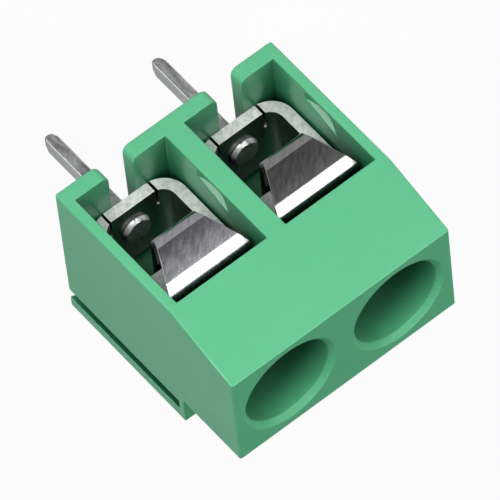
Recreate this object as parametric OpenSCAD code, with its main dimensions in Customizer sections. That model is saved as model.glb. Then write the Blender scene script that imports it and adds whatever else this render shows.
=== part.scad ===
// Two-pole screw terminal block for a printed circuit board.
// +Z is up from the board, the wires enter from -Y, and the origin is on the seating plane,
// midway between the two solder pins. Every length is in millimetres.

/* [Housing] */
// Distance from one pole to the next
pitch = 5.0; // [4.8:0.1:7]
// Height of the housing above the board
body_h = 10.0; // [8.3:0.1:13]
// Distance from the front face to the line of the screws and pins
axis_d = 3.4; // [2.8:0.05:4.2]
// Thickness of the wall behind a screw well
back_wall = 0.6; // [0.4:0.05:1.2]
// How far the back plate stands proud of the upper back face
plate_t = 1.4; // [1.3:0.1:2.4]
// Height of the back plate
plate_h = 6.7; // [4.5:0.1:8.2]
// Thickness of a side wall, and half the thickness of the wall between the poles
side_wall = 0.435; // [0.35:0.005:0.55]
// Thickness of the floor under the wire entries
floor_t = 0.68; // [0.5:0.02:0.9]

/* [Wire entries] */
// Height of the strip of front face left above a wire entry
lintel_h = 0.14; // [0.1:0.02:0.5]
// Space above the guard's lip, up to the top of the entry
lip_space = 0.63; // [0.3:0.01:0.9]
// How deep the round lead-in hollows the side walls of an entry
lead_cut = 0.185; // [0.05:0.005:0.3]
// Height of the middle of the round lead-in
lead_z = 3.45; // [3.2:0.05:3.8]
// Distance from the front face to the start of the round lead-in
lead_start = 0.35; // [0.2:0.05:0.6]
// Distance from the front face to the end of the round lead-in
lead_end = 1.55; // [1:0.05:1.9]

/* [Screw wells] */
// Diameter of a screw well
well_dia = 3.8; // [3.1:0.1:4.4]
// Height and width of the lead-in chamfer round a well's mouth
well_chamfer = 0.2; // [0.1:0.05:0.25]
// Width of the flat rim between the sloped face and a well's chamfer
rim_w = 0.3; // [0.1:0.05:0.6]

/* [Interlock] */
// Width of the interlock rib at its root
rib_root = 0.4; // [0.3:0.05:0.6]
// Width of the interlock rib at its tip
rib_tip = 1.0; // [0.7:0.05:1.1]
// How far the rib stands out from the side
rib_out = 0.5; // [0.3:0.05:0.6]
// How far the rib ends below the top of the back plate
rib_drop = 0.5; // [0.4:0.05:2]
// How far the rib lies in front of the middle of the back plate
rib_shift = 0.1; // [0:0.05:0.15]
// Clearance all round the rib in the groove of the next block
rib_gap = 0.05; // [0.02:0.01:0.1]

/* [Clamp cage] */
// Thickness of the folded strip
sheet_t = 0.5; // [0.4:0.02:0.6]
// Outer radius of the cage's lower corners
cage_r = 1.05; // [0.7:0.05:1.3]
// Outer radius of the cage's upper corners
cage_top_r = 0.3; // [0.2:0.05:0.5]
// Inner radius of the cage's upper corners
cage_fold_r = 0.15; // [0.05:0.05:0.3]
// Outer height of the cage
cage_h = 4.22; // [3.6:0.02:5.2]
// How far the cage runs in front of the screw's axis
cage_lead = 1.4; // [1.35:0.05:1.6]
// How far the cage runs behind the screw's axis
cage_tail = 1.8; // [1.4:0.05:2]
// Clearance between the cage and the side walls and roof of its cavity
cage_gap = 0.08; // [0.03:0.01:0.15]
// Clearance behind the cage
cage_back_gap = 0.2; // [0.05:0.05:0.3]
// Width of the tongue that two short slits leave in the cage's floor
tongue_w = 2.04; // [1.7:0.02:2.4]
// Length of the two slits, from the front edge
slit_len = 0.9; // [0.4:0.05:1]
// Width of a slit
slit_w = 0.1; // [0.06:0.01:0.2]

/* [Solder pin] */
// Width of a pin, from side to side
pin_w = 0.5; // [0.4:0.05:0.7]
// Thickness of a pin, from front to back
pin_d = 0.75; // [0.5:0.05:0.9]
// Length of a pin below the board's face
pin_len = 4.0; // [3:0.1:5]
// Length of the taper at a pin's end
pin_taper = 0.4; // [0.3:0.05:0.8]
// Clearance on both sides of a pin in the slot that it slides in through
pin_side_gap = 0.3; // [0.1:0.05:0.4]
// Clearance behind a pin in its slot
pin_back_gap = 0.425; // [0.1:0.025:0.6]
// Radius of the rounded corners at a slot's mouth
slot_mouth_r = 0.35; // [0.2:0.05:0.5]
// Width of the shoulder that the pin's round tenon leaves on each side
tenon_step = 0.02; // [0.02:0.01:0.1]
// Radial clearance of the tenon in the cage's floor
tenon_gap = 0.02; // [0.01:0.01:0.05]
// Diameter of the staked head on the tenon
stake_dia = 1.3; // [0.9:0.05:1.6]
// Height of the staked head
stake_h = 0.22; // [0.1:0.02:0.3]

/* [Wire guard] */
// Thickness of the guard's strip
guard_t = 0.3; // [0.2:0.02:0.34]
// Distance from the housing's front face to the front of the flap
guard_front = 0.25; // [0.15:0.01:0.35]
// Height of the guard, from its leaf to its lip
guard_h = 2.33; // [2.1:0.01:2.4]
// Outer radius of the lower bend, between flap and leaf
bend_r = 0.5; // [0.4:0.02:0.6]
// How far the flap leans back, in degrees
flap_lean = 18; // [10:1:22]
// Outer radius of the crease between flap and lip
crease_r = 0.36; // [0.35:0.01:0.5]
// How far the lip leans back, in degrees
lip_lean = 32; // [28:1:38]
// Length of the lip's flat
lip_len = 0.36; // [0.2:0.01:0.45]
// Outer radius of the rolled edge above the lip
lip_r = 0.4; // [0.36:0.01:0.5]
// Clearance between the lip's ends and the side walls of the entry
lip_gap = 0.215; // [0.15:0.005:0.4]
// Clearance between the leaf's sides and the inside of the cage
leaf_side_gap = 0.505; // [0.2:0.005:0.7]
// Clearance between the leaf and the cage's roof
leaf_gap = 0.1; // [0.03:0.01:0.3]
// How far the leaf runs behind the screw's axis
leaf_back = 1.2; // [0.8:0.05:1.4]

/* [Clamp screw] */
// Outer diameter of the screw's thread
screw_dia = 2.5; // [2:0.1:2.8]
// Radial clearance of the screw in the cage's thread
thread_gap = 0.05; // [0.02:0.01:0.1]
// Radial clearance of the screw's head in its well
head_gap = 0.1; // [0.05:0.01:0.2]
// Height of the screw's head
head_h = 1.3; // [1:0.05:1.6]
// How far the screw can be driven down from the open state
screw_travel = 1.6; // [1:0.05:2]
// Width of the driver slot
recess_w = 0.6; // [0.4:0.05:0.8]
// Depth of the driver slot
recess_depth = 0.7; // [0.4:0.05:0.9]

/* [Hidden] */

$fn = 64;
// How far one shape runs into the next so that they join
eps = 0.02;
// How far a cut runs past the face that it opens
over = 1;

housing_green = [0.36, 0.72, 0.52];
plated_steel = [0.72, 0.73, 0.74];
tinned_brass = [0.68, 0.68, 0.67];
zinc_steel = [0.75, 0.76, 0.78];

// Places along Y. The screws and pins stand on Y = 0.
front_y = -axis_d;
back_y = well_dia / 2 + back_wall;
plate_y = back_y + plate_t;
slope_y = -well_dia / 2 - well_chamfer - rim_w;
cage_wall = 0.1;
chamber_y = -cage_lead - cage_wall;
cavity_y = cage_tail + cage_back_gap;
guard_y = front_y + guard_front;
slot_y = pin_d / 2 + pin_back_gap;
rib_y = back_y + plate_t / 2 - rib_shift;

// Widths
body_w = 2 * pitch;
pocket_w = pitch - 2 * side_wall;
cage_w = pocket_w - 2 * cage_gap;
lip_w = pocket_w - 2 * lip_gap;
leaf_w = cage_w - 2 * sheet_t - 2 * leaf_side_gap;
slot_w = pin_w + 2 * pin_side_gap;
head_dia = well_dia - 2 * head_gap;
tenon_dia = pin_w - 2 * tenon_step;

// Heights
cage_top = floor_t + cage_h;
roof_t = 2 * sheet_t;
cage_roof = cage_top - roof_t;
cavity_roof = cage_top + cage_gap;
leaf_top = cage_roof - leaf_gap;
guard_z = leaf_top - guard_t;
guard_top = guard_z + guard_h;
bends_h = bend_r * (1 + sin(flap_lean)) + crease_r * (sin(lip_lean) - sin(flap_lean))
    + lip_r * (1 - sin(lip_lean));
flap_len = (guard_h - bends_h - lip_len * cos(lip_lean)) / cos(flap_lean);
entry_top = guard_top + lip_space;
front_h = entry_top + lintel_h;
rib_h = plate_h - rib_drop;
groove_end = 0.2;

// The screw's tip stays just clear of the leaf, and its head stops just above the cage
tip_gap = 0.03;
tip_z = leaf_top + tip_gap;
seat_gap = 0.05;
head_z = cage_top + seat_gap + screw_travel;

// Where pole number i stands: pole 1 at -X, pole 2 at +X
function pole_x(i) = (i - 1.5) * pitch;

// Points of an arc of radius r about a centre, from angle a0 to angle a1
function arc(centre, r, a0, a1, steps = 8) =
    [for (k = [0 : steps]) centre + r * [cos(a0 + (a1 - a0) * k / steps), sin(a0 + (a1 - a0) * k / steps)]];

// Extrudes an outline drawn in the Y-Z plane along X, centred on X = 0
module along_x(width) {
    rotate([90, 0, 90]) linear_extrude(height = width, center = true) children();
}

// Extrudes an outline drawn in the X-Z plane along +Y, from Y = y0
module along_y(y0, length) {
    translate([0, y0 + length, 0]) rotate([90, 0, 0]) linear_extrude(height = length) children();
}

// Side outline of the housing, in the Y-Z plane
module side_outline() {
    polygon([
        [front_y, 0],
        [plate_y, 0],
        [plate_y, plate_h],
        [back_y, plate_h],
        [back_y, body_h],
        [slope_y, body_h],
        [front_y, front_h]
    ]);
}

// The stepped cavity behind one wire entry, for a pole at X = 0: a tall front chamber for the guard,
// a lower one for the cage, and a round lead-in that hollows both side walls
module entry_cavity() {
    translate([-pocket_w / 2, front_y - over, floor_t])
        cube([pocket_w, chamber_y - front_y + over, entry_top - floor_t]);
    translate([-pocket_w / 2, front_y - over, floor_t])
        cube([pocket_w, cavity_y - front_y + over, cavity_roof - floor_t]);
    translate([0, front_y + lead_end, lead_z])
        rotate([90, 0, 0]) cylinder(r = pocket_w / 2 + lead_cut, h = lead_end - lead_start);
}

// The well over one screw, with a chamfered mouth
module screw_well() {
    translate([0, 0, cavity_roof - eps]) cylinder(d = well_dia, h = body_h);
    translate([0, 0, body_h - well_chamfer])
        cylinder(d1 = well_dia, d2 = well_dia + 2 * well_chamfer + 2 * eps, h = well_chamfer + eps);
}

// The slot in the floor for one pin, open to the front, with rounded corners at its mouth
module pin_slot() {
    half = slot_w / 2;
    r = slot_mouth_r;
    left = arc([-half - r, front_y + r], r, -90, 0, 6);
    right = arc([half + r, front_y + r], r, 180, 270, 6);
    translate([0, 0, -over]) linear_extrude(height = over + floor_t + eps)
        polygon(concat([[-half - r, front_y - over]], left, [[-half, slot_y], [half, slot_y]], right,
            [[half + r, front_y - over]]));
}

// Cross-section of the interlock, in the X-Y plane: the rib's own size, or larger by a clearance
module dovetail(gap) {
    root = rib_root / 2 + gap;
    tip = rib_tip / 2 + gap;
    deep = rib_out + gap;
    inside = 0.1;
    polygon([[inside, -root], [0, -root], [-deep, -tip], [-deep, tip], [0, root], [inside, root]]);
}

// Shallow round marks that the ejector pins leave in the underside
module ejector_marks() {
    mark_dia = 2.0;
    mark_depth = 0.1;
    rear_y = back_y + 0.1;
    front_mark_y = front_y + 1.5;
    for (place = [[pole_x(1), rear_y], [pole_x(2), rear_y], [0, front_mark_y]])
        translate([place[0], place[1], -over]) cylinder(d = mark_dia, h = over + mark_depth);
}

// Small ring that the moulding gate leaves in the middle of the back plate
module gate_ring() {
    ring_dia = 0.9;
    hole_dia = 0.5;
    ring_h = 0.1;
    root_h = 0.2;
    translate([0, plate_y + ring_h, plate_h / 2]) rotate([90, 0, 0]) difference() {
        cylinder(d = ring_dia, h = ring_h + root_h);
        translate([0, 0, -over]) cylinder(d = hole_dia, h = ring_h + over);
    }
}

module housing() {
    color(housing_green) {
        difference() {
            union() {
                along_x(body_w) side_outline();
                translate([-body_w / 2, rib_y, 0]) linear_extrude(height = rib_h) dovetail(0);
                gate_ring();
            }
            for (i = [1, 2]) translate([pole_x(i), 0, 0]) {
                entry_cavity();
                screw_well();
                pin_slot();
            }
            translate([body_w / 2, rib_y, -over])
                linear_extrude(height = over + rib_h + groove_end) dovetail(rib_gap);
            ejector_marks();
        }
    }
}

// Outline in the X-Z plane of the cage, with a wall and a roof taken off for its inside
module cage_outline(wall, roof, top_r) {
    half = cage_w / 2 - wall;
    low = floor_t + wall;
    high = cage_top - roof;
    r = cage_r - wall;
    polygon(concat(
        arc([-half + r, low + r], r, 180, 270),
        arc([half - r, low + r], r, 270, 360),
        arc([half - top_r, high - top_r], top_r, 0, 90, 4),
        arc([-half + top_r, high - top_r], top_r, 90, 180, 4)
    ));
}

// A strip folded into a square tube, doubled at the roof for the screw's thread. Two slits free
// a tongue at the front of its floor, which carries the solder pin.
module clamp_cage(i) {
    slit_h = 0.3;
    color(tinned_brass) translate([pole_x(i), 0, 0]) difference() {
        along_y(-cage_lead, cage_lead + cage_tail) cage_outline(0, 0, cage_top_r);
        along_y(-cage_lead - over, cage_lead + cage_tail + 2 * over)
            cage_outline(sheet_t, roof_t, cage_fold_r);
        for (side = [-1, 1])
            translate([side * (tongue_w + slit_w) / 2 - slit_w / 2, -cage_lead - over, floor_t - over])
                cube([slit_w, slit_len + over, over + sheet_t + slit_h]);
        translate([0, 0, cage_roof - over])
            cylinder(r = screw_dia / 2 + thread_gap, h = roof_t + 2 * over);
        translate([0, 0, floor_t - over]) cylinder(r = tenon_dia / 2 + tenon_gap, h = sheet_t + 2 * over);
    }
}

// Outline of a pin, seen along Y or along X: full width, then two bevels to its end
module pin_outline(width) {
    mid_share = 0.36;
    end_share = 0.2;
    tip = -pin_len;
    mid_z = tip + pin_taper / 3;
    polygon([
        [-width / 2, floor_t],
        [-width / 2, tip + pin_taper],
        [-mid_share * width, mid_z],
        [-end_share * width, tip],
        [end_share * width, tip],
        [mid_share * width, mid_z],
        [width / 2, tip + pin_taper],
        [width / 2, floor_t]
    ]);
}

// A flat pin with a round tenon, which is staked over on the cage's floor
module solder_pin(i) {
    floor_top = floor_t + sheet_t;
    stake_bevel = 0.1;
    color(tinned_brass) translate([pole_x(i), 0, 0]) {
        intersection() {
            along_y(-pin_d, 2 * pin_d) pin_outline(pin_w);
            along_x(2 * pin_w) pin_outline(pin_d);
        }
        translate([0, 0, floor_t - eps]) cylinder(d = tenon_dia, h = sheet_t + 2 * eps);
        translate([0, 0, floor_top])
            cylinder(d1 = stake_dia, d2 = stake_dia - 2 * stake_bevel, h = stake_h);
    }
}

// Step along a face of the guard's strip that leans back by an angle, and the way into the strip from it
function along(lean) = [sin(lean), cos(lean)];
function inward(lean) = [cos(lean), -sin(lean)];

// Side outline of the guard's strip, in the Y-Z plane: leaf, lower bend, flap, crease, lip and rolled edge
module guard_strip() {
    low = [guard_y + bend_r, guard_z + bend_r];
    crease = low + (crease_r - bend_r) * inward(flap_lean) + flap_len * along(flap_lean);
    high = crease + (lip_r - crease_r) * inward(lip_lean) + lip_len * along(lip_lean);
    polygon(concat(
        [[leaf_back, guard_z]],
        arc(low, bend_r, 270, 180 - flap_lean),
        arc(crease, crease_r, 180 - flap_lean, 180 - lip_lean, 3),
        arc(high, lip_r, 180 - lip_lean, 90),
        arc(high, lip_r - guard_t, 90, 180 - lip_lean),
        arc(crease, crease_r - guard_t, 180 - lip_lean, 180 - flap_lean, 3),
        arc(low, bend_r - guard_t, 180 - flap_lean, 270),
        [[leaf_back, leaf_top]]
    ));
}

// Front outline of the guard, in the X-Z plane: narrow at the leaf, flaring in a curve to the lip
module guard_front_outline() {
    z1 = guard_top - lip_r * (1 - sin(lip_lean));
    flare_power = 1.12;
    steps = 8;
    flare = [for (k = [0 : steps])
        [leaf_w / 2 + (lip_w - leaf_w) / 2 * pow(k / steps, flare_power),
            leaf_top + (z1 - leaf_top) * k / steps]];
    left = [for (k = [steps : -1 : 0]) [-flare[k][0], flare[k][1]]];
    polygon(concat(
        [[leaf_w / 2, guard_z - over]], flare, [[lip_w / 2, guard_top + over]],
        [[-lip_w / 2, guard_top + over]], left, [[-leaf_w / 2, guard_z - over]]
    ));
}

// The strip that the screw's tip presses on the wire, with a flap that closes the entry above it
module wire_guard(i) {
    color(plated_steel) translate([pole_x(i), 0, 0]) intersection() {
        along_x(pocket_w) guard_strip();
        along_y(front_y, axis_d + back_y) guard_front_outline();
    }
}

// Two crossed slots in the screw's head, for a flat or a crosshead driver
module driver_recess() {
    cross_len = 2 * head_dia / 3;
    translate([-head_dia, -recess_w / 2, 0]) cube([2 * head_dia, recess_w, head_h]);
    translate([-recess_w / 2, -cross_len / 2, 0]) cube([recess_w, cross_len, head_h]);
}

// The screw in its open state, with its tip level with the inside of the cage's roof
module clamp_screw(i) {
    tip_bevel = 0.3;
    head_bevel = 0.15;
    bevel_z = tip_z + tip_bevel;
    head_top = head_z + head_h;
    color(zinc_steel) translate([pole_x(i), 0, 0]) difference() {
        union() {
            translate([0, 0, tip_z]) cylinder(d1 = screw_dia - 2 * tip_bevel, d2 = screw_dia, h = tip_bevel);
            translate([0, 0, bevel_z - eps]) cylinder(d = screw_dia, h = head_z - bevel_z + 2 * eps);
            translate([0, 0, head_z]) cylinder(d = head_dia, h = head_h - head_bevel);
            translate([0, 0, head_top - head_bevel])
                cylinder(d1 = head_dia, d2 = head_dia - 2 * head_bevel, h = head_bevel);
        }
        translate([0, 0, head_top - recess_depth]) driver_recess();
    }
}

housing();
clamp_cage(1);  // clamp_cage_1
clamp_cage(2);  // clamp_cage_2
solder_pin(1);  // solder_pin_1
solder_pin(2);  // solder_pin_2
wire_guard(1);  // wire_guard_1
wire_guard(2);  // wire_guard_2
clamp_screw(1);  // clamp_screw_1
clamp_screw(2);  // clamp_screw_2
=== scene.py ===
"""Looks of a two-pole screw terminal block: a moulded green housing with plated metal in it."""

import math

import bmesh
import bpy
from mathutils import Matrix, Vector


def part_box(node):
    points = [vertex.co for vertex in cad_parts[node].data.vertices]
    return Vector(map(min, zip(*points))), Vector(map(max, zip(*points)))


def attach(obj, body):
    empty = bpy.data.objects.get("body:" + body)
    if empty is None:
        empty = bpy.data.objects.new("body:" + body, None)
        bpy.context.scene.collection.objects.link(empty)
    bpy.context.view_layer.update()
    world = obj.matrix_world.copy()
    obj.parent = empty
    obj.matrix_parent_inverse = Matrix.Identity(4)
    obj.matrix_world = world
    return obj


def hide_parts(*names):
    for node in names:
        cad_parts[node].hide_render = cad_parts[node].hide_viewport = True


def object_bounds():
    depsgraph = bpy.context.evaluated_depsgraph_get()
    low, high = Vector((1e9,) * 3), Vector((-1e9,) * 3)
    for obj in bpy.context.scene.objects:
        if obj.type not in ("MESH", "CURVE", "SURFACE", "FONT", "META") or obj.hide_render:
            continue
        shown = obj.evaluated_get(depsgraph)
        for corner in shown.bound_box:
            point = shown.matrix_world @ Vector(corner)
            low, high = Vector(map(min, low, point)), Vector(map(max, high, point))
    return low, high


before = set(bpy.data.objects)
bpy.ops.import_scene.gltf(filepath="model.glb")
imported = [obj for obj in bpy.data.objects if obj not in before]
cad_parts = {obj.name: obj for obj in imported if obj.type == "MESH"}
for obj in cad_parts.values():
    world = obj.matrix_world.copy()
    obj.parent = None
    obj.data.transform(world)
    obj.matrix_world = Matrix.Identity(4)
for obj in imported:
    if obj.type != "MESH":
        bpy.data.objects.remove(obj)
CAD_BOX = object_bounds()
MM = 0.001
POLES = (1, 2)

# ---------------------------------------------------------------- values
# Lengths are in metres and angles in degrees. Azimuth 0 is in front and 90 at the right.

# The camera, as fitted to the photo: where it stands round the block, how far it is turned about
# its own axis, and what share of the frame the block fills
CAMERA_AZIMUTH = 19.5
CAMERA_ELEVATION = 27.1
CAMERA_ROLL = 135.1
CAMERA_DISTANCE = 0.344
CAMERA_CLIP_START = 0.01
CAMERA_CLIP_END = 5.0
FRAME_FILL = 0.84
SENSOR = 36.0

# Lamps. The strength is what a white surface shows that faces the lamp square on
KEY = {"azimuth": 33.0, "elevation": 8.0, "distance": 0.16, "size": 0.09, "strength": 0.92}
LIP_LIGHT = {"azimuth": -21.0, "elevation": 33.0, "distance": 0.16, "size": 0.10, "strength": 0.33}
TOP_LIGHT = {"azimuth": 180.0, "elevation": 78.0, "distance": 0.16, "size": 0.12, "strength": 0.18}
BACK_LIGHT = {"azimuth": 230.0, "elevation": 8.0, "distance": 0.16, "size": 0.12, "strength": 0.55}
GLINT = {"azimuth": 21.0, "elevation": 6.5, "distance": 0.16, "size": 0.045, "strength": 0.30}

# The world: what matt surfaces get from it, and what gloss sees of it away from its white ceiling.
# The ceiling begins and is full at these cosines from the way in which it lies
WORLD_FILL = 0.10
WORLD_DIM = 0.12
CEILING_WAY = (-0.1, -0.35, 0.93)
CEILING_BEGINS = 0.60
CEILING_FULL = 0.85

# The floor: the strength of its glow, what share of the glow the camera and gloss see, and the
# grey under it, which takes the block's shadow
FLOOR_GLOW = 1.045
FLOOR_SHARE = 0.9
FLOOR_GLOSS_SHARE = 0.22
FLOOR_COLOUR = 0.5
FLOOR_REACH = 0.8

# The plastic: two tones, the least and greatest roughness, noise scales in spots a metre, what the
# wave and the grain each give to the bumps, and the light that passes under its surface
GREEN_DARK = (0.116, 0.530, 0.270)
GREEN_LIGHT = (0.130, 0.552, 0.290)
GREEN_SMOOTH = 0.24
GREEN_ROUGH = 0.36
GREEN_CLOUD_SCALE = 180.0
GREEN_WAVE_SCALE = 420.0
GREEN_GRAIN_SCALE = 9000.0
GREEN_WAVE_HEIGHT = 2.0
GREEN_GRAIN_HEIGHT = 0.5
GREEN_BUMP = 0.2
GREEN_RELIEF = 0.006 * MM
GREEN_IOR = 1.5
GREEN_GLOW_WEIGHT = 0.15
GREEN_GLOW_RADII = (0.3, 1.0, 0.5)
GREEN_GLOW_REACH = 0.4 * MM

# Painted shade: hollows are painted darker. The open air at a point is the share of short rays from
# it that hit nothing. A pair gives the open air at which a change begins and at which it ends
HOLLOW_REACH = 3.0 * MM
HOLLOW_SAMPLES = 8
DEEP_AIR = (0.0, 0.22)
HOLLOW_AIR = (0.37, 0.92)
SHADE_TINT_AIR = (0.06, 0.26)
# The share of its own colour that the plastic keeps under the painted shade deep in a hollow and on
# its walls, with the dark tints of painted shade that take the rest. Metal has one of each. It
# keeps that share up to the dark air, and all of its colour from the open air on, which comes later
# on screws and cages
DEEP_SHADE = 0.02
HOLLOW_SHADE = 0.24
DEEP_SHADE_TINT = (0.001, 0.008, 0.004)
HOLLOW_SHADE_TINT = (0.001, 0.085, 0.026)
METAL_SHADE = 0.06
METAL_SHADE_TINT = (0.002, 0.004, 0.003)
METAL_DARK_AIR = 0.04
METAL_OPEN_AIR = 0.45
SCREW_OPEN_AIR = 0.85
CAGE_OPEN_AIR = 0.8

# The plated metal: a cloud, a fine grain, and scratches that are turned about Y, in radians, and
# are so many times as long as they are wide. Four numbers are a ramp, which takes a value from
# between the first two to between the last two. Two numbers are the start of one
METAL_CLOUD_SCALE = 900.0
METAL_GRAIN_SCALE = 14000.0
SCRATCH_SCALE = 7000.0
SCRATCH_TURN = 0.75
SCRATCH_LENGTH = 14.0
CLOUD_TONE = 0.5
SCRATCH_TONE = (0.36, 0.64, -0.35, 0.75)
SCRATCH_GLOSS = (0.2, 0.8)
GLOSS_SPREAD = 0.15
GRAIN_GLOSS = (0.4, 0.8, 0.0, 0.04)
METAL_GRAIN_HEIGHT = 0.5
METAL_BUMP = 0.12
METAL_RELIEF = 0.004 * MM

# A cage's cut faces: how squarely they look along Y, and how strongly their torn spots show
CUT_FACING = (0.6, 0.9)
TEAR_SCALE = 5200.0
CUT_TEARS = (0.36, 0.60, 0.35, 0.0)
CUT_DARK = (0.20, 0.21, 0.20)
CUT_ROUGHNESS = 0.5
CUT_METALLIC = 0.35

# A pin's sheared faces, likewise, with spots that are longer along the pin and that also paint
# shade, so the front is darker than the side. Its edges lie between two faces, so they look along X
# and Y at once, and are painted near white as a painted highlight
SHEAR_FACING = (0.90, 0.97)
SHEAR_LENGTH = 5.0
SHEAR_TEARS = (0.38, 0.62, 0.25, 0.95)
SHEAR_AND_SHADE_DARK = (0.22, 0.21, 0.225)
PIN_METALLIC = 0.8
EDGE_FACING = (0.18, 0.42)
EDGE_PAINTED_HIGHLIGHT = (0.95, 0.95, 0.95)
EDGE_METALLIC = 0.1

# A guard's flap gets more matt over this height, up to the foot of its lip
LIP_FOOT = 5.35 * MM
LIP_FADE = 1.1 * MM

# Where the CAD model has the entries' side walls and the round lead-ins that hollow them
ENTRY_HALF_WIDTH = 2.065 * MM
CAD_LEAD_START = 0.35 * MM
CAD_LEAD_END = 1.55 * MM
CAD_LEAD_DEPTH = 0.185 * MM
CAD_LEAD_HEIGHT = 3.45 * MM

# The same lead-ins as moulded, where the hollow ends in a slanted face: the depth of the hollow,
# the distances of its start and its end from the front, how much lower it is, and how much nearer
# the front the end comes for each step into the wall, and farther for each step upward
LEAD_DEPTH = 0.27 * MM
LEAD_START = 0.17 * MM
LEAD_END = 0.87 * MM
LEAD_DROP = 0.12 * MM
LEAD_SLANT_SIDE = 0.37
LEAD_SLANT_UP = 0.31

# The screw's thread, which the CAD model has as a plain shank. Over a turn its side rises from a
# flat root to the crest by the slope
SHANK_RADIUS = 1.25 * MM
THREAD_PITCH = 0.45 * MM
THREAD_DEPTH = 0.16 * MM
THREAD_RUNOUT = 0.25 * MM
THREAD_STEPS = 8
THREAD_SLOPE = 2.6
THREAD_ROOT = 0.3
# The shank's faces are upright, lie this evenly round it, and reach at most this far past it
SHANK_UPRIGHT = 0.01
SHANK_SPREAD = 0.005 * MM
SHANK_MARGIN = 0.01 * MM

# How wide the rounding of edges is: outer ones of the plastic, the rest, and the pins'
OUTER_EDGE = 0.12 * MM
INNER_EDGE = 0.04 * MM
PIN_EDGE = 0.13 * MM
HOUSING_HALF_WIDTH = 5.0 * MM
# Edges sharper than the first angle are rounded, over at most a share of the room beside them.
# Faces that turn less than the second angle from each other share their shading
EDGE_ANGLE = 28.0
ROOM_SHARE = 0.42
SHADING_ANGLE = 38.0
# An edge runs on in another one if the cosine between them is at least this
RUNS_ON = 0.8

# What counts as the same place: in the CAD model's mesh, where a plane cuts it, for its sizes, and
# at the housing's sides. Faces that turn less than the angle are one flat face
WELD = 1e-7
CUT_WELD = 1e-8
SAME = 1e-6
NEAR = 0.02 * MM
FLAT_ANGLE = 0.5


# ---------------------------------------------------------------- camera

def direction(azimuth, elevation):
    """The way from the block toward something at this azimuth and elevation."""
    turn, rise = math.radians(azimuth), math.radians(elevation)
    return Vector((math.sin(turn) * math.cos(rise), -math.cos(turn) * math.cos(rise),
                   math.sin(rise)))


def camera_axes():
    """Right, up and backward directions of the camera."""
    azimuth, roll = math.radians(CAMERA_AZIMUTH), math.radians(CAMERA_ROLL)
    back = direction(CAMERA_AZIMUTH, CAMERA_ELEVATION)
    level = Vector((math.cos(azimuth), math.sin(azimuth), 0))
    upright = back.cross(level)
    right = level * math.cos(roll) + upright * math.sin(roll)
    up = upright * math.cos(roll) - level * math.sin(roll)
    return right, up, back


def make_camera():
    """A long lens, aimed at the middle of what shows, with the block filling most of the frame."""
    right, up, back = camera_axes()
    low, high = CAD_BOX
    eye = (low + high) / 2 + back * CAMERA_DISTANCE
    spans = []
    for axis in (right, up):
        tangents = []
        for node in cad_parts.values():
            for vertex in node.data.vertices:
                ray = vertex.co - eye
                tangents.append(ray.dot(axis) / -ray.dot(back))
        spans.append((min(tangents), max(tangents)))
    aim_right, aim_up = ((a + b) / 2 for a, b in spans)
    widest = max(b - a for a, b in spans)
    forward = (-back + right * aim_right + up * aim_up).normalized()
    side = forward.cross(up).normalized()
    upward = side.cross(forward)

    data = bpy.data.cameras.new("camera")
    data.sensor_width = SENSOR
    data.lens = SENSOR * FRAME_FILL / widest
    data.clip_start = CAMERA_CLIP_START
    data.clip_end = CAMERA_CLIP_END
    camera = bpy.data.objects.new("camera", data)
    bpy.context.scene.collection.objects.link(camera)
    camera.matrix_world = Matrix((
        (side.x, upward.x, -forward.x, eye.x),
        (side.y, upward.y, -forward.y, eye.y),
        (side.z, upward.z, -forward.z, eye.z),
        (0, 0, 0, 1)))
    bpy.context.scene.camera = camera


# ---------------------------------------------------------------- materials

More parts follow.
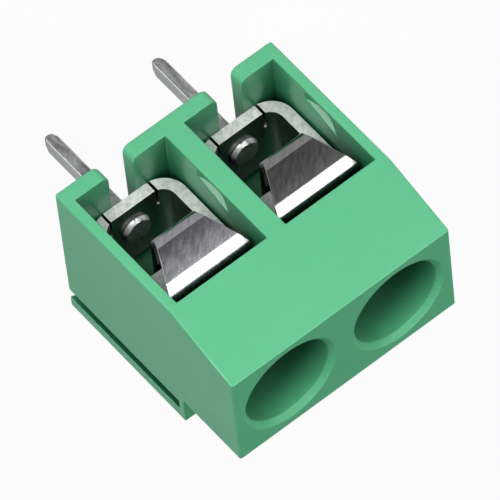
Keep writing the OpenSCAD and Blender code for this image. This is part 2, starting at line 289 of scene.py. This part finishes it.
class Nodes:
    """Short forms for making a node tree. Inputs are values or the sockets that feed them."""

    def __init__(self, tree):
        self.tree = tree
        tree.nodes.clear()

    def add(self, kind, inputs=None, **settings):
        node = self.tree.nodes.new(kind)
        for name, value in settings.items():
            setattr(node, name, value)
        for name, value in (inputs or {}).items():
            if isinstance(value, bpy.types.NodeSocket):
                self.tree.links.new(value, node.inputs[name])
            else:
                node.inputs[name].default_value = value
        return node

    def math(self, operation, a, b=0.0):
        return self.add("ShaderNodeMath", {0: a, 1: b}, operation=operation).outputs[0]

    def noise(self, vector, scale, detail=3.0, roughness=0.5):
        node = self.add("ShaderNodeTexNoise", {
            "Vector": vector, "Scale": scale, "Detail": detail, "Roughness": roughness})
        return node.outputs["Fac"]

    def ramp(self, value, low, high, to_low=0.0, to_high=1.0, **settings):
        """Takes low..high to to_low..to_high, and stays level outside."""
        node = self.add("ShaderNodeMapRange", {
            "Value": value, "From Min": low, "From Max": high,
            "To Min": to_low, "To Max": to_high}, **settings)
        return node.outputs[0]

    def mix(self, share, a, b):
        return self.add("ShaderNodeMix", {0: share, 2: a, 3: b}).outputs[0]

    def mix_colour(self, share, a, b):
        """Between two colours, each of which is three numbers or a socket."""
        a, b = (c if isinstance(c, bpy.types.NodeSocket) else (*c, 1) for c in (a, b))
        return self.add("ShaderNodeMix", {0: share, 6: a, 7: b}, data_type="RGBA").outputs[2]

    def stretched(self, place, factor, turn=0.0):
        """The place for a noise that is drawn out along Z, and then turned about Y."""
        node = self.add("ShaderNodeMapping", {
            "Vector": place, "Rotation": (0.0, turn, 0.0), "Scale": (1.0, 1.0, factor)},
            vector_type="TEXTURE")
        return node.outputs[0]

    def place(self):
        return self.add("ShaderNodeTexCoord").outputs["Object"]

    def facing(self, axis):
        """How far a face looks along an axis, either way."""
        normal = self.add("ShaderNodeTexCoord").outputs["Normal"]
        along = self.add("ShaderNodeSeparateXYZ", {0: normal}).outputs[axis]
        return self.math("ABSOLUTE", along)

    def open_air(self):
        node = self.add("ShaderNodeAmbientOcclusion", {"Distance": HOLLOW_REACH},
                        samples=HOLLOW_SAMPLES)
        return node.outputs["AO"]

    def bump(self, height, strength, relief):
        node = self.add("ShaderNodeBump", {
            "Height": height, "Strength": strength, "Distance": relief})
        return node.outputs[0]

    def sharp_rays(self, rays):
        """1 for rays that a gloss or a glass sends out."""
        return self.math("MAXIMUM", rays.outputs["Is Glossy Ray"],
                         rays.outputs["Is Transmission Ray"])


def new_material(name):
    material = bpy.data.materials.new(name)
    material.use_nodes = True
    return material, Nodes(material.node_tree)


def housing_material():
    """Moulded plastic: nearly even in colour, with a soft wave in its gloss and a fine grain, and
    painted shade that darkens it in hollows.
    """
    material, n = new_material("green_nylon")
    place = n.place()
    cloud = n.noise(place, GREEN_CLOUD_SCALE, detail=2.0)
    grain = n.noise(place, GREEN_GRAIN_SCALE, detail=2.0)
    wave = n.noise(place, GREEN_WAVE_SCALE, detail=2.0)
    colour = n.mix_colour(cloud, GREEN_DARK, GREEN_LIGHT)
    rough = n.ramp(wave, 0.0, 1.0, GREEN_SMOOTH, GREEN_ROUGH)
    height = n.math("ADD", n.math("MULTIPLY", grain, GREEN_GRAIN_HEIGHT),
                    n.math("MULTIPLY", wave, GREEN_WAVE_HEIGHT))
    # Painted shade: the colour goes toward dark green tints where little air is open round a point
    open_air = n.open_air()
    own = n.math("ADD", n.ramp(open_air, *DEEP_AIR, DEEP_SHADE, HOLLOW_SHADE),
                 n.ramp(open_air, *HOLLOW_AIR, 0.0, 1.0 - HOLLOW_SHADE,
                        interpolation_type="SMOOTHSTEP"))
    shade_tint = n.mix_colour(n.ramp(open_air, *SHADE_TINT_AIR), DEEP_SHADE_TINT, HOLLOW_SHADE_TINT)
    shader = n.add("ShaderNodeBsdfPrincipled", {
        "Base Color": n.mix_colour(own, shade_tint, colour), "Roughness": rough,
        "Normal": n.bump(height, GREEN_BUMP, GREEN_RELIEF), "IOR": GREEN_IOR,
        "Subsurface Weight": GREEN_GLOW_WEIGHT, "Subsurface Radius": GREEN_GLOW_RADII,
        "Subsurface Scale": GREEN_GLOW_REACH})
    n.add("ShaderNodeOutputMaterial", {"Surface": shader.outputs[0]})
    return material


def plated_metal(name, dark, light, roughness, cut_faces=False, stamped=False, lip_rise=0.0,
                 open_air_at=METAL_OPEN_AIR):
    """Plated metal: slightly cloudy, with fine scratches, and with painted shade that darkens it in
    hollows that have less open air than open_air_at. With cut_faces, as on a cage, faces that look
    along Y are cut: matt and torn in spots. With stamped, as on a pin, they are sheared and darker,
    partly sheared spots and partly painted shade, and the edges beside them carry a painted
    highlight.
    With a lip_rise, a guard's flap gets more matt toward its lip."""
    material, n = new_material(name)
    place = n.place()
    cloud = n.noise(place, METAL_CLOUD_SCALE, detail=4.0, roughness=0.6)
    grain = n.noise(place, METAL_GRAIN_SCALE, detail=3.0, roughness=0.6)
    slanted = n.stretched(place, SCRATCH_LENGTH, SCRATCH_TURN)
    scratches = n.noise(slanted, SCRATCH_SCALE, detail=3.0, roughness=0.65)
    tone = n.math("ADD", n.math("MULTIPLY", cloud, CLOUD_TONE), n.ramp(scratches, *SCRATCH_TONE))
    colour = n.mix_colour(tone, dark, light)
    rough = n.math("ADD", n.ramp(scratches, *SCRATCH_GLOSS, roughness * (1 - GLOSS_SPREAD),
                                 roughness * (1 + GLOSS_SPREAD)),
                   n.ramp(grain, *GRAIN_GLOSS))
    metallic = 1.0
    # Painted shade: the colour goes dark where little air is open round a point
    own = n.ramp(n.open_air(), METAL_DARK_AIR, open_air_at, METAL_SHADE, 1.0)
    if cut_faces:
        cut = n.ramp(n.facing("Y"), *CUT_FACING)
        torn = n.ramp(n.noise(place, TEAR_SCALE, detail=4.0, roughness=0.7), *CUT_TEARS)
        colour = n.mix_colour(n.math("MULTIPLY", cut, torn), colour, CUT_DARK)
        rough = n.mix(cut, rough, CUT_ROUGHNESS)
        metallic = n.ramp(cut, 0.0, 1.0, 1.0, CUT_METALLIC)
        own = n.math("MAXIMUM", own, cut)
    if stamped:
        side, front = n.facing("X"), n.facing("Y")
        drawn = n.stretched(place, SHEAR_LENGTH)
        torn = n.ramp(n.noise(drawn, TEAR_SCALE, detail=4.0, roughness=0.7), *SHEAR_TEARS)
        # The sheared spots are partly painted shade, which makes the front darker than the side
        sheared = n.math("MULTIPLY", n.ramp(front, *SHEAR_FACING), torn)
        colour = n.mix_colour(sheared, colour, SHEAR_AND_SHADE_DARK)
        # Painted highlight: the edges between the faces are painted near white and less metallic
        edge = n.ramp(n.math("MINIMUM", side, front), *EDGE_FACING)
        colour = n.mix_colour(edge, colour, EDGE_PAINTED_HIGHLIGHT)
        metallic = n.ramp(edge, 0.0, 1.0, PIN_METALLIC, EDGE_METALLIC)
    if lip_rise:
        level = n.add("ShaderNodeSeparateXYZ", {0: place}).outputs["Z"]
        rough = n.math("ADD", rough, n.ramp(level, LIP_FOOT - LIP_FADE, LIP_FOOT, 0.0, lip_rise))
    height = n.math("ADD", scratches, n.math("MULTIPLY", grain, METAL_GRAIN_HEIGHT))
    shader = n.add("ShaderNodeBsdfPrincipled", {
        "Base Color": n.mix_colour(own, METAL_SHADE_TINT, colour), "Roughness": rough,
        "Normal": n.bump(height, METAL_BUMP, METAL_RELIEF), "Metallic": metallic})
    n.add("ShaderNodeOutputMaterial", {"Surface": shader.outputs[0]})
    return material


# ---------------------------------------------------------------- pieces

def bake_modifiers(piece):
    """Replaces the piece's mesh by what its modifiers make of it."""
    bpy.context.view_layer.update()
    graph = bpy.context.evaluated_depsgraph_get()
    mesh = bpy.data.meshes.new_from_object(piece.evaluated_get(graph))
    piece.modifiers.clear()
    old = piece.data
    piece.data = mesh
    bpy.data.meshes.remove(old)


def set_normals(mesh):
    """Smooth shading that leaves large flat faces flat: each corner takes the mean of the faces
    round its vertex that turn away less than the shading angle, weighted by their areas."""
    limit = math.cos(math.radians(SHADING_ANGLE))
    around = [[] for _ in mesh.vertices]
    for polygon in mesh.polygons:
        polygon.use_smooth = True
        for vertex in polygon.vertices:
            around[vertex].append((polygon.normal.copy(), polygon.area))
    corners = []
    for polygon in mesh.polygons:
        for vertex in polygon.vertices:
            total = Vector((0, 0, 0))
            for normal, area in around[vertex]:
                if normal.dot(polygon.normal) > limit:
                    total += normal * area
            corners.append(total.normalized() if total.length > 0 else polygon.normal.copy())
    mesh.normals_split_custom_set(corners)


def room_at(edge, vertex):
    """Length of the shortest edge that turns away from this one at a vertex: the rounding of this
    one slides along it."""
    along = (edge.other_vert(vertex).co - vertex.co).normalized()
    lengths = []
    for other in vertex.link_edges:
        if other is edge:
            continue
        away = (other.other_vert(vertex).co - vertex.co).normalized()
        if abs(away.dot(along)) < RUNS_ON:
            lengths.append(other.calc_length())
    return min(lengths, default=1.0)


def finished_copy(node_name, name, width_of, cuts, segments, reshape=None):
    """A copy of a CAD node with its sharp edges rounded. width_of(edge) gives the width, cuts are
    (axis, place) planes that split flat faces with holes into simple ones, and reshape may move
    corners first. It stays inside the node's box."""
    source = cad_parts[node_name]
    bm = bmesh.new()
    bm.from_mesh(source.data)
    bmesh.ops.remove_doubles(bm, verts=bm.verts, dist=WELD)
    bmesh.ops.dissolve_limit(bm, angle_limit=math.radians(FLAT_ANGLE), verts=bm.verts,
                             edges=bm.edges, delimit=set())
    if reshape:
        reshape(bm)
    for axis, place in cuts:
        normal = Vector((0, 0, 0))
        normal[axis] = 1.0
        bmesh.ops.bisect_plane(bm, geom=bm.verts[:] + bm.edges[:] + bm.faces[:], dist=CUT_WELD,
                               plane_co=normal * place, plane_no=normal)
    weights = bm.edges.layers.float.new("bevel_weight_edge")
    widths = {}
    for edge in bm.edges:
        if edge.is_manifold and edge.calc_face_angle(0.0) > math.radians(EDGE_ANGLE):
            room = min(room_at(edge, vertex) for vertex in edge.verts)
            widths[edge] = min(width_of(edge), ROOM_SHARE * room)
    widest = max(widths.values())
    for edge, width in widths.items():
        edge[weights] = width / widest
    mesh = bpy.data.meshes.new(name)
    bm.to_mesh(mesh)
    bm.free()

    piece = bpy.data.objects.new(name, mesh)
    bpy.context.scene.collection.objects.link(piece)
    bevel = piece.modifiers.new("edges", "BEVEL")
    bevel.width = widest
    bevel.segments = segments
    bevel.limit_method = "WEIGHT"
    bevel.use_clamp_overlap = False
    bevel.miter_outer = "MITER_ARC"
    bake_modifiers(piece)
    low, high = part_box(node_name)
    for vertex in piece.data.vertices:
        vertex.co = [min(max(vertex.co[axis], low[axis]), high[axis]) for axis in range(3)]
    set_normals(piece.data)
    return piece


def shape_lead_ins(bm):
    """Moves the corners of the hollows in the entries' side walls to where the mould leaves them.
    The hollows are the rows of corners just outside a side wall's plane, between the front and
    the cavity."""
    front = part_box("housing")[0].y
    for vertex in bm.verts:
        depth = vertex.co.y - front
        pole_x = min(pole_places.values(), key=lambda x: abs(x - vertex.co.x))
        out = abs(vertex.co.x - pole_x) - ENTRY_HALF_WIDTH
        at_start = abs(depth - CAD_LEAD_START) < SAME
        at_end = abs(depth - CAD_LEAD_END) < SAME
        if not (at_start or at_end) or not -SAME < out < CAD_LEAD_DEPTH + SAME:
            continue
        side = 1.0 if vertex.co.x > pole_x else -1.0
        out *= LEAD_DEPTH / CAD_LEAD_DEPTH
        up = vertex.co.z - CAD_LEAD_HEIGHT
        slanted_end = LEAD_END - LEAD_SLANT_SIDE * out + LEAD_SLANT_UP * up
        new_depth = LEAD_START if at_start else slanted_end
        vertex.co = Vector((pole_x + side * (ENTRY_HALF_WIDTH + out), front + new_depth,
                            vertex.co.z - LEAD_DROP))


def cut_thread(mesh, axis_x):
    """Cuts a thread into a screw's plain shank. Its long side faces give way to rows of small ones,
    which sink between the crests, so the thread stays inside the shank's own diameter."""
    bm = bmesh.new()
    bm.from_mesh(mesh)
    columns = {}

    def radial(vertex):
        return Vector((vertex.co.x - axis_x, vertex.co.y, 0))

    def column(low, high):
        """Vertices up the shank's side from one corner to the one over it, which both stay."""
        if (low, high) not in columns:
            out = radial(low)
            turn = math.atan2(out.y, out.x) / math.tau
            length = high.co.z - low.co.z
            steps = max(round(length / THREAD_PITCH * THREAD_STEPS), 2)
            between = []
            for step in range(1, steps):
                rise = length * step / steps
                phase = (rise / THREAD_PITCH - turn) % 1.0
                crest = min(max(abs(phase - 0.5) * THREAD_SLOPE - THREAD_ROOT, 0.0), 1.0)
                fade = min(rise, length - rise) / THREAD_RUNOUT
                sink = THREAD_DEPTH * (1.0 - crest) * min(fade, 1.0)
                place = out * (1.0 - sink / out.length)
                between.append(bm.verts.new((axis_x + place.x, place.y, low.co.z + rise)))
            columns[low, high] = [low, *between, high]
        return columns[low, high]

    def is_shank_side(face):
        """Whether it is an upright face with four corners on the shank's cylinder."""
        heights = [vertex.co.z for vertex in face.verts]
        reach = [radial(vertex).length for vertex in face.verts]
        return (len(heights) == 4 and max(heights) - min(heights) > THREAD_PITCH
                and max(reach) - min(reach) < SHANK_SPREAD
                and max(reach) < SHANK_RADIUS + SHANK_MARGIN
                and abs(face.normal.z) < SHANK_UPRIGHT)

    sides = [face for face in bm.faces if is_shank_side(face)]
    for face in sides:
        corners = list(face.verts)
        lows = sorted(corners, key=lambda vertex: vertex.co.z)[:2]
        while not (corners[0] in lows and corners[1] in lows):
            corners = corners[1:] + corners[:1]
        left, right = column(corners[0], corners[3]), column(corners[1], corners[2])
        for step in range(len(left) - 1):
            bm.faces.new((left[step], right[step], right[step + 1], left[step + 1]))
    bmesh.ops.delete(bm, geom=sides, context="FACES")
    bm.to_mesh(mesh)
    bm.free()


def install(piece, node_name, material, body):
    piece.data.materials.clear()
    piece.data.materials.append(material)
    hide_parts(node_name)
    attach(piece, body)


def housing_edge_width(edge):
    """Outer edges of the housing and those of its underside are rounder than those of its holes."""
    low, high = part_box("housing")
    middle = (edge.verts[0].co + edge.verts[1].co) / 2
    under = middle.z < low.z + NEAR
    outer_faces = sum((
        abs(middle.x) > HOUSING_HALF_WIDTH - NEAR,
        middle.y < low.y + NEAR,
        middle.z > high.z - NEAR,
        under))
    return OUTER_EDGE if outer_faces >= 2 or under else INNER_EDGE


make_camera()
green = housing_material()
# Painted light: both guards are the same nickel, but pole 1's copy is painted darker and pole 2's
# lighter and bluer, as a shaded and a lit copy
nickel = {
    1: plated_metal("nickel_shaded_copy_1", (0.32, 0.32, 0.32), (0.42, 0.42, 0.42), 0.12,
                    lip_rise=0.06),
    2: plated_metal("nickel_lit_copy_2", (0.45, 0.45, 0.49), (0.58, 0.58, 0.63), 0.15,
                    lip_rise=0.12)}
tin = plated_metal("tin_plate", (0.68, 0.68, 0.68), (0.80, 0.80, 0.80), 0.28, stamped=True)
cage_plate = plated_metal("cage_plate", (0.84, 0.86, 0.84), (0.95, 0.96, 0.94), 0.22,
                          cut_faces=True, open_air_at=CAGE_OPEN_AIR)
zinc = plated_metal("zinc_plate", (0.40, 0.40, 0.41), (0.56, 0.56, 0.58), 0.25,
                    open_air_at=SCREW_OPEN_AIR)

pole_places = {pole: sum(corner.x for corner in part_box(f"solder_pin_{pole}")) / 2
               for pole in POLES}
shell_cuts = [(0, pole_places[1]), (0, 0.0), (0, pole_places[2]), (1, 0.0)]
shell = finished_copy("housing", "housing_shell", housing_edge_width, shell_cuts, segments=3,
                      reshape=shape_lead_ins)
install(shell, "housing", green, "root")
for pole in POLES:
    for node, material, slot, body in (
            (f"clamp_cage_{pole}", cage_plate, "cage", "root"),
            (f"solder_pin_{pole}", tin, "pin", "root"),
            (f"wire_guard_{pole}", nickel[pole], "guard", f"guard_{pole}"),
            (f"clamp_screw_{pole}", zinc, "screw", f"screw_{pole}")):
        width = PIN_EDGE if slot == "pin" else INNER_EDGE
        piece = finished_copy(node, node + "_metal", lambda edge: width,
                              [(0, pole_places[pole]), (1, 0.0)], segments=2)
        if slot == "screw":
            cut_thread(piece.data, pole_places[pole])
            set_normals(piece.data)
        install(piece, node, material, body)


# ---------------------------------------------------------------- studio

def make_world():
    """White round the block for the camera. Gloss and metal see a studio whose ceiling is white and
    the rest dim, and matt surfaces get only a soft fill from it."""
    world = bpy.data.worlds.new("studio")
    bpy.context.scene.world = world
    world.use_nodes = True
    n = Nodes(world.node_tree)
    rays = n.add("ShaderNodeLightPath")
    way = n.add("ShaderNodeTexCoord").outputs["Generated"]
    toward = Vector(CEILING_WAY).normalized()
    facing = n.add("ShaderNodeVectorMath", {0: way, 1: toward}, operation="DOT_PRODUCT")
    studio = n.ramp(facing.outputs["Value"], CEILING_BEGINS, CEILING_FULL, WORLD_DIM, 1.0,
                    interpolation_type="SMOOTHSTEP")
    strength = n.mix(n.sharp_rays(rays), WORLD_FILL, studio)
    strength = n.mix(rays.outputs["Is Camera Ray"], strength, 1.0)
    background = n.add("ShaderNodeBackground", {"Color": (1, 1, 1, 1), "Strength": strength})
    n.add("ShaderNodeOutputWorld", {"Surface": background.outputs[0]})


def make_floor():
    """A white floor under the pins' tips. It is seen as white, and keeps a faint shadow."""
    material, n = new_material("studio_white")
    rays = n.add("ShaderNodeLightPath")
    grey = (FLOOR_COLOUR, FLOOR_COLOUR, FLOOR_COLOUR, 1)
    matt = n.add("ShaderNodeBsdfDiffuse", {"Color": grey})
    glow = n.add("ShaderNodeEmission", {"Color": (1, 1, 1, 1), "Strength": FLOOR_GLOW})
    share = n.math("MAXIMUM",
                   n.math("MULTIPLY", rays.outputs["Is Camera Ray"], FLOOR_SHARE),
                   n.math("MULTIPLY", n.sharp_rays(rays), FLOOR_GLOSS_SHARE))
    mixed = n.add("ShaderNodeMixShader", {0: share, 1: matt.outputs[0], 2: glow.outputs[0]})
    n.add("ShaderNodeOutputMaterial", {"Surface": mixed.outputs[0]})
    size = FLOOR_REACH
    z = CAD_BOX[0].z
    mesh = bpy.data.meshes.new("floor")
    corners = [(-size, -size, z), (size, -size, z), (size, size, z), (-size, size, z)]
    mesh.from_pydata(corners, [], [(0, 1, 2, 3)])
    mesh.materials.append(material)
    floor = bpy.data.objects.new("floor", mesh)
    bpy.context.scene.collection.objects.link(floor)


def softbox(name, azimuth, elevation, distance, size, strength):
    """A square area light that faces the block and that the camera doesn't see."""
    data = bpy.data.lights.new(name, "AREA")
    data.shape = "SQUARE"
    data.size = size
    data.energy = strength * (math.pi * distance) ** 2
    light = bpy.data.objects.new(name, data)
    toward = direction(azimuth, elevation)
    light.location = toward * distance
    light.rotation_mode = "QUATERNION"
    light.rotation_quaternion = toward.to_track_quat("Z", "Y")
    light.visible_camera = False
    bpy.context.scene.collection.objects.link(light)
    return light


make_world()
make_floor()
# The key and the back light give no gloss, because their mirror images would blow out the flat
# faces of the plastic from behind and above. The glint gives nothing else: it is the highlight in
# the lead-ins
softbox("key", **KEY).visible_glossy = False
softbox("lip_light", **LIP_LIGHT)
softbox("top_light", **TOP_LIGHT)
softbox("back_light", **BACK_LIGHT).visible_glossy = False
softbox("glint", **GLINT).visible_diffuse = False

scene = bpy.context.scene
scene.view_settings.view_transform = "Standard"
